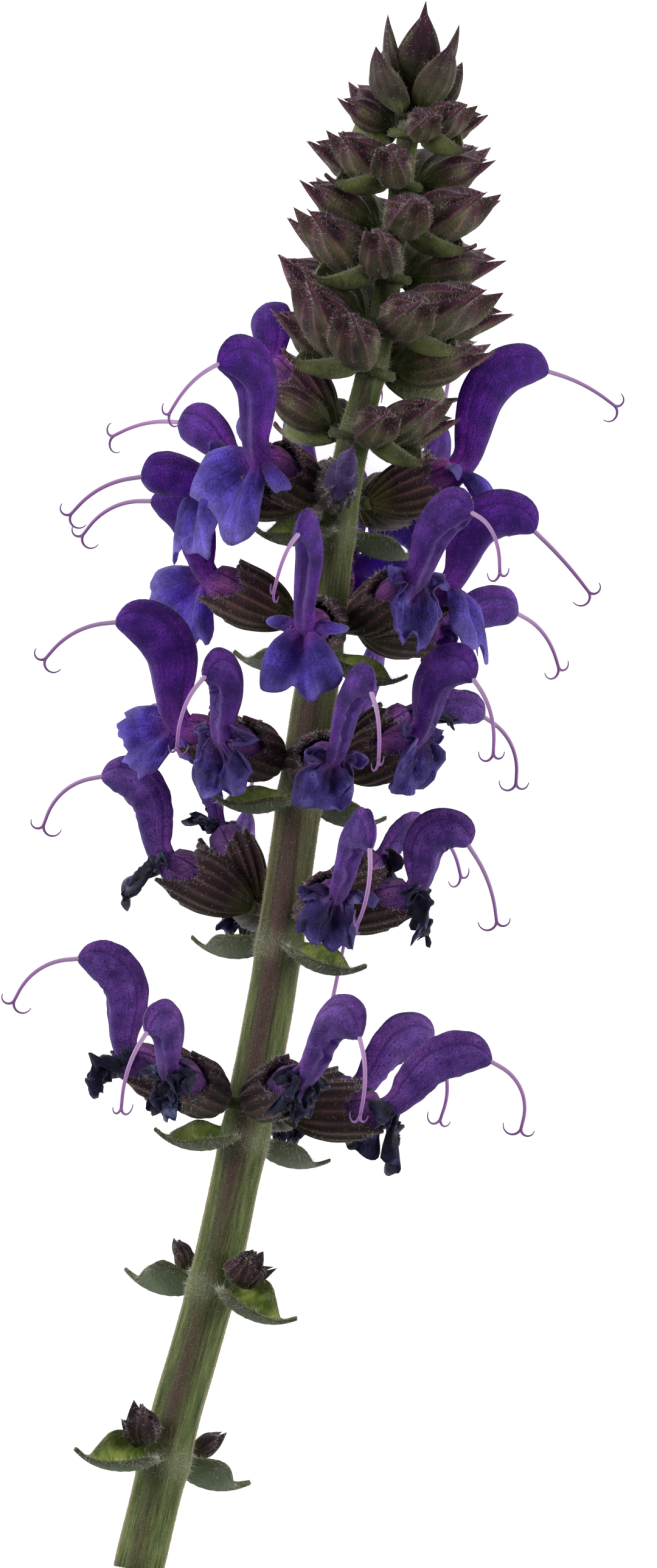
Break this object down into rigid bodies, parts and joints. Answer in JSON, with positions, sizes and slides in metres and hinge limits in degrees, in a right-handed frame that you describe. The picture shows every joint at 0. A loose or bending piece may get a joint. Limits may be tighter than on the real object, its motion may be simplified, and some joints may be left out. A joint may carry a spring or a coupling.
{
  "type": "perennial salvia flower spike",
  "caption": "Cut flowering spike of a garden salvia, laid on a surface: square leafy stem, whorls of two-lipped violet blooms, dark calyces and a cone of buds.",
  "frame": {"origin": "on the surface that the spike lies on, under the middle of its box", "axes": "+Y up the spike from its cut end to its tip, +Z away from the surface, +X to the right seen from above"},
  "size_m": [0.0446, 0.1078, 0.0334],
  "materials": {
    "stem_green": "soft green stem and bracts, streaked purple-brown, with short white hairs",
    "calyx_brown": "dark purple-brown ribbed calyces, olive at the foot, hairy, with small glands",
    "petal_violet": "thin violet petals, finely hairy, blue on the lips, withered dark blue-black on the older ones, with lilac styles",
    "bud_maroon": "dark maroon buds and bracts with pale green margins and hairs"
  },
  "bodies": {
    "root": {"bloom_3_back": "petal_violet", "bloom_3_front_left": "petal_violet", "bloom_3_front_right": "petal_violet", "bloom_3_left": "petal_violet", "bloom_3_right": "petal_violet", "bloom_3_right_back": "petal_violet", "bloom_4_back": "petal_violet", "bloom_4_front_right": "petal_violet", "bloom_4_left": "petal_violet", "bloom_4_left_back": "petal_violet", "bloom_4_right": "petal_violet", "bloom_4_right_back": "petal_violet", "bloom_5_back": "petal_violet", "bloom_5_front_left": "petal_violet", "bloom_5_front_right": "petal_violet", "bloom_5_left": "petal_violet", "bloom_5_right": "petal_violet", "bloom_5_right_back": "petal_violet", "bloom_6_back": "petal_violet", "bloom_6_front": "petal_violet", "bloom_6_left": "petal_violet", "bloom_6_right": "petal_violet", "bloom_6_right_back": "petal_violet", "bloom_6_right_front": "petal_violet", "bloom_7_back": "petal_violet", "bloom_7_front": "petal_violet", "bloom_7_front_left": "petal_violet", "bloom_7_left": "petal_violet", "bloom_7_left_back": "petal_violet", "bloom_7_right": "petal_violet", "bloom_7_right_back": "petal_violet", "bloom_8_left_back": "petal_violet", "bud_whorl_10": "bud_maroon", "bud_whorl_11": "bud_maroon", "bud_whorl_12": "bud_maroon", "bud_whorl_13": "bud_maroon", "bud_whorl_14": "bud_maroon", "bud_whorl_8": "bud_maroon", "bud_whorl_9": "bud_maroon", "calyces_3_left": "calyx_brown", "calyces_3_right": "calyx_brown", "calyces_4_left": "calyx_brown", "calyces_4_right": "calyx_brown", "calyces_5_left": "calyx_brown", "calyces_5_right": "calyx_brown", "calyces_6_left": "calyx_brown", "calyces_6_right": "calyx_brown", "calyces_7_left": "calyx_brown", "calyces_7_right": "calyx_brown", "crown": "bud_maroon", "leafy_stem": "stem_green", "old_calyces_1_left": "calyx_brown", "old_calyces_1_right": "calyx_brown", "old_calyces_2_left": "calyx_brown", "old_calyces_2_right": "calyx_brown"}
  },
  "joints": []
}
